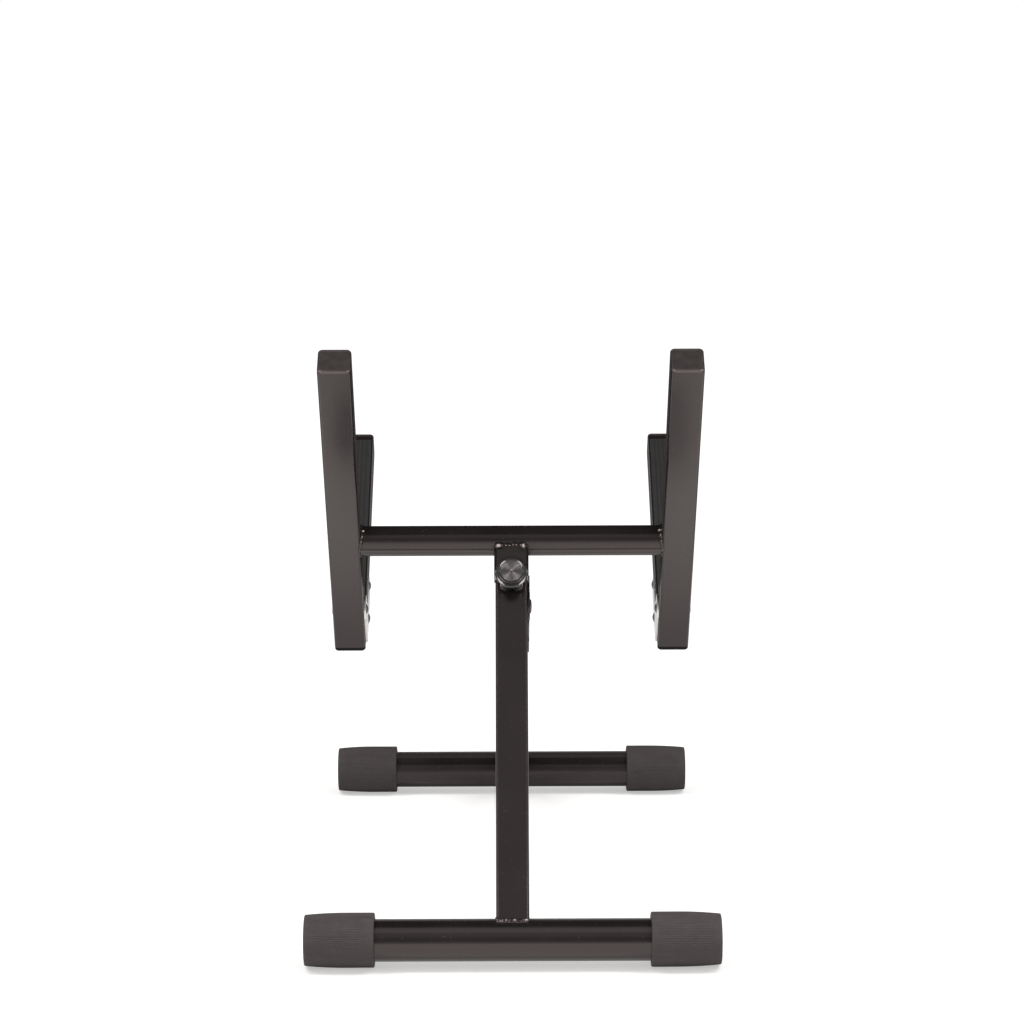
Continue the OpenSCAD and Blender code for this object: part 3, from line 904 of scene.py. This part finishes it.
def add_knob():
    """The knob's body: lobed grips that run out under a round flange."""
    low, high = span("knob", knob_axis, knob_out)
    height = high - low
    radius = span("knob", knob_axis, RIGHT)[1]
    stud_r = span("lock_stud", knob_axis, RIGHT)[1]
    grip_end = height - FLANGE - RUN_OUT
    profile = [
        (stud_r, height - BORE_STOP),
        (stud_r, RECESS_DEPTH),
        (RECESS_R, RECESS_DEPTH),
        (RECESS_R, RECESS_EDGE),
        (RECESS_R + RECESS_EDGE, 0),
        (lobed(radius, GRIP_EDGE), 0),
        (lobed(radius, 0.0), GRIP_EDGE),
        (lobed(radius, 0.0), grip_end),
        (radius - FLANGE_UNDERCUT, grip_end + RUN_OUT),
    ]
    skin = spun(profile + flange_profile(radius, height), KNOB_POINTS)
    knob = add_piece("lobed_knob", skin, "lock_knob", "knob_plastic", knob_place("knob"))
    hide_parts("knob")


RIM_W = 1.9 * MM
RIM_EDGE = 0.4 * MM
# Degrees from the flat, at the rim's outer and inner edge
RIM_START, RIM_END = 13, 27
RIM_STEPS = 6
CROWN_POINTS = 120
CROWN_NECK = 0.5 * MM
CROWN_NECK_END = 0.9 * MM
# The floor under the disc: its depth and gap at the rim, and its middle's radius and depth
FACE_GROOVE = 0.25 * MM
FLOOR_GAP = 0.05 * MM
FLOOR_MIDDLE_R = 4 * MM
FLOOR_DEPTH = 0.6 * MM
# The disc: gap to the rim, thickness, the edge of its domed face, the dome, and a centre mark
DISC_GAP = 0.25 * MM
DISC_THICK = 0.6 * MM
DISC_EDGE = 0.15 * MM
DISC_EDGE_UP = 0.05 * MM
DISC_RISE = 0.2 * MM
DISC_RINGS = 10
CENTRE_MARK_R = 0.5 * MM
CENTRE_MARK = 0.1 * MM


def add_crown():
    """Raised crown whose rim slopes in to a turned metal disc."""
    low, high = span("knob_crown", knob_axis, knob_out)
    height = high - low
    radius = span("knob_crown", knob_axis, RIGHT)[1]
    neck_r = radius - CROWN_NECK
    rim = [(neck_r, 0), (neck_r, CROWN_NECK), (radius, CROWN_NECK_END)]
    rim += arc(radius - RIM_EDGE, height - RIM_EDGE, RIM_EDGE, 0, 90, 4)
    face_r = radius - RIM_W
    slope_w = RIM_W - RIM_EDGE
    for i in range(1, RIM_STEPS + 1):
        tilt = math.radians(RIM_START + (RIM_END - RIM_START) * (i - 0.5) / RIM_STEPS)
        height -= slope_w / RIM_STEPS * math.tan(tilt)
        rim.append((radius - RIM_EDGE - slope_w * i / RIM_STEPS, height))
    rim += [(face_r - FLOOR_GAP, height - FACE_GROOVE), (FLOOR_MIDDLE_R, height - FLOOR_DEPTH)]
    place = knob_place("knob_crown")
    crown = add_piece("knob_crown_rim", spun(rim, CROWN_POINTS), "lock_knob", "knob_plastic", place)
    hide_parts("knob_crown")

    face_z = height - FACE_GROOVE
    disc_r = face_r - DISC_GAP
    disc = [(disc_r, face_z - DISC_THICK), (disc_r, face_z)]
    for i in range(DISC_RINGS - 1, 0, -1):
        share = i / DISC_RINGS
        disc.append(((disc_r - DISC_EDGE) * share, face_z + DISC_EDGE_UP + DISC_RISE * (1 - share ** 2)))
    disc.append((CENTRE_MARK_R, face_z - CENTRE_MARK))
    skin = spun(disc, CROWN_POINTS)
    add_piece("knob_crown_face", skin, "lock_knob", "zinc_steel", place, turned_finish)


THREAD_PITCH = 1.25 * MM
THREAD_DEPTH = 0.7 * MM
THREAD_TURN_POINTS = 36
THREAD_ROWS = 8
TIP_L = 6 * MM
TIP_IN = 0.3 * MM
TIP_SHOULDER = 0.2 * MM
TIP_CHAMFER = 0.8 * MM
TIP_CHAMFER_L = 1 * MM


def add_stud():
    """The lock stud with its thread, and its plain tip."""
    low, high = span("lock_stud", knob_axis, leg_front)
    radius = span("lock_stud", knob_axis, RIGHT)[1]
    tip_r = radius - TIP_IN
    place = turned(knob_axis, RIGHT, -leg_up)
    rows = round((high - TIP_L - low) / THREAD_PITCH * THREAD_ROWS)
    profile = []
    for i in range(rows + 1):
        z = low + (high - TIP_L - low) * i / rows
        fade = min(1, i / THREAD_ROWS, (rows - i) / THREAD_ROWS)

        def thread(turn, z=z, fade=fade):
            share = (z / THREAD_PITCH - turn / (2 * math.pi)) % 1
            return radius - fade * THREAD_DEPTH * (1 - abs(2 * share - 1))

        profile.append((thread, z))
    profile.append((tip_r, high - TIP_L + TIP_SHOULDER))
    profile.append((tip_r, high - TIP_CHAMFER_L))
    profile.append((tip_r - TIP_CHAMFER, high))
    skin = spun(profile, THREAD_TURN_POINTS)
    stud = add_piece("threaded_stud", skin, "lock_screw", "zinc_steel", place)
    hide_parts("lock_stud")


# ---------- caps on the uprights ----------

CAP_CORNER = 4 * MM
CAP_ROUND = 2.3 * MM
CAP_INSERT = 12 * MM
CAP_INSERT_IN = 2 * MM
CAP_DISH = 0.25 * MM
CAP_DISH_IN = 6 * MM
# The corner's radius shrinks by this share of an inset
CORNER_SHRINK = 0.7
CORNER_DEGREES = 10


def square_ring(half, corner, z):
    """Points round a rounded square, whose sides are straight from corner to corner."""
    points = []
    for quarter in range(4):
        spot = (half - corner) * Vector((1, 1))
        spot = Matrix.Rotation(math.radians(90 * quarter), 2) @ spot
        for degrees in range(0, 91, CORNER_DEGREES):
            turn = math.radians(90 * quarter + degrees)
            points.append(Vector((spot.x + corner * math.cos(turn), spot.y + corner * math.sin(turn), z)))
    return points


def add_top_cap(side):
    """A plug with a flange as wide as the tube, whose upper edge is well rounded."""
    name = f"top_cap_{side}"
    top = span(name, bar_axis, upright_up)[1]
    foot = span(f"upright_{side}", bar_axis, upright_up)[1] - top
    place = upright_place @ Matrix.Translation((middle(name).x, 0, top))
    half = SQUARE / 2
    insert = (half - CAP_INSERT_IN, CAP_CORNER - CAP_INSERT_IN)
    rings = [square_ring(*insert, foot - CAP_INSERT), square_ring(*insert, foot)]
    rings.append(square_ring(half, CAP_CORNER, foot))
    for inset, z in arc(CAP_ROUND, -CAP_ROUND, CAP_ROUND, 180, 90, 6):
        rings.append(square_ring(half - inset, CAP_CORNER - inset * CORNER_SHRINK, z))
    rings.append(square_ring(half - CAP_DISH_IN, CAP_CORNER, -CAP_DISH))
    cap = add_piece(f"rounded_{name}", loft(rings), "rear_frame", "cap_plastic", place, top_cap_finish)
    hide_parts(name)


# ---------- pads on the shelf arms ----------

PAD_GROOVES = 5
GROOVE_DEPTH = 0.8 * MM
GROOVE_SHARPNESS = 6
PAD_ROUND = 0.7 * MM
PAD_STEPS = 96
# Rounding of a pad's ends: [distance from the end, inset]
PAD_END = [(0, PAD_ROUND), (0.2 * MM, 0.3 * MM), (PAD_ROUND, 0)]


def pad_section(half, thick, inset):
    """Pad outline [x, z] with its top at Z = 0: round shoulders and a soft groove between ribs."""
    top = []
    for i in range(PAD_STEPS + 1):
        x = -half + 2 * half * i / PAD_STEPS
        wave = 0.5 + 0.5 * math.cos(2 * math.pi * (PAD_GROOVES + 1) * (x + half) / (2 * half))
        groove = wave ** GROOVE_SHARPNESS if abs(x) < half * (1 - 0.5 / (PAD_GROOVES + 1)) else 0
        edge = max(abs(x) - (half - PAD_ROUND), 0)
        shoulder = PAD_ROUND - math.sqrt(max(PAD_ROUND ** 2 - edge ** 2, 0))
        top.append((x * (1 - inset / half), -max(GROOVE_DEPTH * groove, shoulder, inset)))
    return top + [(half - inset, -thick), (inset - half, -thick)]


def add_pad(side):
    name = f"arm_pad_{side}"
    low_x, high_x = span(name, Vector(), RIGHT)
    near, far = span(name, bar_axis, upright_front)
    bottom, top = span(name, bar_axis, upright_up)
    half, thick = (high_x - low_x) / 2, top - bottom
    centre = Vector(((low_x + high_x) / 2, bar_axis.y, bar_axis.z)) + top * upright_up
    rings = []
    stations = [(near + z, inset) for z, inset in PAD_END]
    stations += [(far - z, inset) for z, inset in reversed(PAD_END)]
    for along, inset in stations:
        rings.append([
            centre + along * upright_front + x * RIGHT + z * upright_up
            for x, z in pad_section(half, thick, inset)
        ])
    pad = add_piece(f"ribbed_{name}", loft(rings), f"{side}_arm", "pad_rubber")
    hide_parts(name)


# ---------- studio ----------

LIGHT_COLOUR = (1, 0.985, 0.965)
FLOOR_HALF = 20
FLOOR_LOOK = {
    "Base_Color": (0.82, 0.82, 0.815, 1),
    "Roughness": 0.9,
    "Emission_Color": (1, 0.995, 0.985, 1),
}
FLAG_COLOUR = (0.01, 0.01, 0.01, 1)
STRIP_SIZE = (0.6, 1.6)
STRIP_RADIANCE = 7.6
STRIP_PLACE = Vector((1.36, -0.36, 2.20))
STRIP_AIM = Vector((0, 0, 0.25))
WING_SIZE = (0.9, 1.1)
WING_RADIANCE = 7.0
WING_PLACE = Vector((1.20, -1.70, 0.82))
WING_AIM = Vector((0, -0.14, 0.31))
AMBIENT = 0.52
EYE_RAYS = ("Is Camera Ray", "Is Transmission Ray")
# Whitening of the floor to the eye, by metres from the middle
SEEN_FLOOR = {"From Min": 0.9, "From Max": 3.0, "To Min": 0.45, "To Max": 0.66}
# Whitening of the floor in reflections, by metres from rear to front: painted light and shade that the stand
# mirrors, lowest under the stand's middle and front
MIRRORED_FLOOR = [(-0.34, 0.45), (-0.28, 0.45), (-0.19, 0.75), (-0.13, 0.62), (-0.06, 0.10), (0.40, 0.04),
                  (0.55, 0.45), (0.95, 0.45), (1.2, 0.0)]
# A black flag for reflections alone: Y and Z of its foot, and its reach up the uprights and forward
FLAG_FOOT = (-0.0186, 0.292)
FLAG_HALF = 0.30
FLAG_UP = 0.475
FLAG_FORWARD = 0.40


def rays(tree, *kinds):
    """1 for a ray of any of these kinds, and 0 for all others."""
    path = add_node(tree, "ShaderNodeLightPath")
    total = path.outputs[kinds[0]]
    for kind in kinds[1:]:
        total = math_node(tree, "MAXIMUM", total, path.outputs[kind])
    return total


def ramp(tree, value, stops):
    """Levels from 0 to 1 at the given stops, and straight lines between them."""
    low, high = stops[0][0], stops[-1][0]
    share = add_node(tree, "ShaderNodeMapRange", {"Value": value, "From Min": low, "From Max": high})
    made = add_node(tree, "ShaderNodeValToRGB", {"Fac": share.outputs["Result"]})
    elements = made.color_ramp.elements
    while len(elements) > 1:
        elements.remove(elements[-1])
    for i, (at, level) in enumerate(stops):
        element = elements[0] if i == 0 else elements.new((at - low) / (high - low))
        element.position = (at - low) / (high - low)
        element.color = (level, level, level, 1)
    return made.outputs["Color"]


def add_surface(name, points, faces, **sockets):
    """A studio surface without sheen: the object and its shader."""
    mesh = bpy.data.meshes.new(name)
    mesh.from_pydata(points, [], faces)
    made = bpy.data.objects.new(name, mesh)
    bpy.context.scene.collection.objects.link(made)
    shader = Shader(name, Specular_IOR_Level=0, **sockets)
    mesh.materials.append(shader.material)
    return made, shader


def add_floor():
    """Wide pale floor, whitened with distance to the eye and in bands to reflections."""
    corners = [(x * FLOOR_HALF, y * FLOOR_HALF, 0) for x, y in ((-1, -1), (1, -1), (1, 1), (-1, 1))]
    floor, shader = add_surface("floor", corners, [(0, 1, 2, 3)], **FLOOR_LOOK)
    tree = shader.tree
    reach = shader.add("ShaderNodeVectorMath", {0: shader.place}, operation="LENGTH").outputs["Value"]
    inputs = {"Value": reach, **SEEN_FLOOR}
    whitened = shader.add("ShaderNodeMapRange", inputs, interpolation_type="SMOOTHSTEP")
    forward = shader.add("ShaderNodeSeparateXYZ", {"Vector": shader.place}).outputs["Y"]
    seen = math_node(tree, "MULTIPLY", rays(tree, *EYE_RAYS), whitened.outputs["Result"])
    mirrored = math_node(tree, "MULTIPLY", rays(tree, "Is Glossy Ray"), ramp(tree, forward, MIRRORED_FLOOR))
    shader.feed("Emission Strength", math_node(tree, "ADD", seen, mirrored))
    return floor


def sink_floor(floor, foot):
    """Lowers the floor under a foot that a fold swings below it, so that the floor hides nothing."""
    group, start, end = geometry_group("sink_floor")
    info = add_node(group, "GeometryNodeObjectInfo", {"Object": foot}, transform_space="RELATIVE")
    box = add_node(group, "GeometryNodeBoundBox", {"Geometry": info.outputs["Geometry"]})
    split = add_node(group, "ShaderNodeSeparateXYZ", {"Vector": box.outputs["Min"]})
    lowest = math_node(group, "MINIMUM", split.outputs["Z"], 0)
    shift = add_node(group, "ShaderNodeCombineXYZ", {"Z": lowest}).outputs["Vector"]
    set_socket(group, end, on_geometry(group, "GeometryNodeTransform", start, {"Translation": shift}))
    floor.modifiers.new("sink_floor", "NODES").node_group = group


def add_flag():
    """A black card above the shelf arms that only reflections see, and that darkens the tubes."""
    foot = Vector((0, *FLAG_FOOT))
    edges = [foot + FLAG_UP * upright_up, foot, foot + FLAG_FORWARD * upright_front]
    points = [edge + sign * FLAG_HALF * RIGHT for edge in edges for sign in (-1, 1)]
    flag = add_surface("flag", points, [(0, 1, 3, 2), (2, 3, 5, 4)], Base_Color=FLAG_COLOUR)[0]
    flag.visible_camera = False
    flag.visible_diffuse = False
    flag.visible_transmission = False
    flag.visible_shadow = False


# Brightness round the room, by degrees from the rear horizon over the top to the front horizon
ROOM = [(0, 0.75), (6, 0.45), (13, 0.22), (22, 0.16), (30, 0.22), (38, 0.35), (45, 0.44),
        (50, 0.35), (55, 0.40), (61, 0.72), (69, 0.78), (78, 0.66), (90, 0.50), (107, 0.32),
        (127, 0.16), (150, 0.14), (162, 0.45), (172, 0.75), (180, 0.75)]


def add_room():
    """World: even for lighting, white to the camera, and a white-skirted dark room to reflections."""
    world = bpy.data.worlds.new("room")
    bpy.context.scene.world = world
    world.use_nodes = True
    tree = world.node_tree
    ray = add_node(tree, "ShaderNodeTexCoord").outputs["Generated"]
    split = add_node(tree, "ShaderNodeSeparateXYZ", {"Vector": ray})
    rearward = math_node(tree, "MULTIPLY", split.outputs["Y"], -1.0)
    pitch = math_node(tree, "ARCTAN2", split.outputs["Z"], rearward)
    mirrored = ramp(tree, math_node(tree, "DEGREES", pitch, 0), ROOM)
    change = math_node(tree, "SUBTRACT", mirrored, AMBIENT)
    glossy = math_node(tree, "MULTIPLY", rays(tree, "Is Glossy Ray"), change)
    lit = math_node(tree, "ADD", AMBIENT, glossy)
    level = math_node(tree, "MAXIMUM", lit, rays(tree, *EYE_RAYS))
    background = tree.nodes["Background"]
    set_socket(tree, background.inputs["Strength"], level)
    background.inputs["Color"].default_value = (1, 1, 1, 1)
    world.cycles.sampling_method = "NONE"


def add_panel(name, size, radiance, spot, aim):
    """A flat even light at spot, which faces aim."""
    data = bpy.data.lights.new(name, "AREA")
    data.shape = "RECTANGLE"
    data.size, data.size_y = size
    data.energy = radiance * math.pi * size[0] * size[1]
    data.color = LIGHT_COLOUR
    panel = bpy.data.objects.new(name, data)
    panel.location = spot
    panel.rotation_euler = (aim - spot).to_track_quat("-Z", "Y").to_euler()
    bpy.context.scene.collection.objects.link(panel)
    return panel


def add_lights():
    """A long softbox above each side, and a wing at each side whose sheen only the gloss shows."""
    for sign in SIDES.values():
        mirror = Vector((sign, 1, 1))
        add_panel("strip", STRIP_SIZE, STRIP_RADIANCE, STRIP_PLACE * mirror, STRIP_AIM)
        wing = add_panel("wing", WING_SIZE, WING_RADIANCE, WING_PLACE * mirror, WING_AIM)
        wing.visible_camera = False
        wing.visible_diffuse = False


# ---------- the picture ----------

add_camera()
dress_cad_nodes()
for row in ("rear", "front"):
    for side in SIDES:
        add_foot(row, side)
add_welds()
add_craters()
add_knob()
add_crown()
add_stud()
for side in SIDES:
    add_top_cap(side)
    add_pad(side)
sink_floor(add_floor(), bpy.data.objects["ribbed_front_foot_left"])
add_flag()
add_room()
add_lights()
bpy.context.scene.view_settings.view_transform = "Standard"
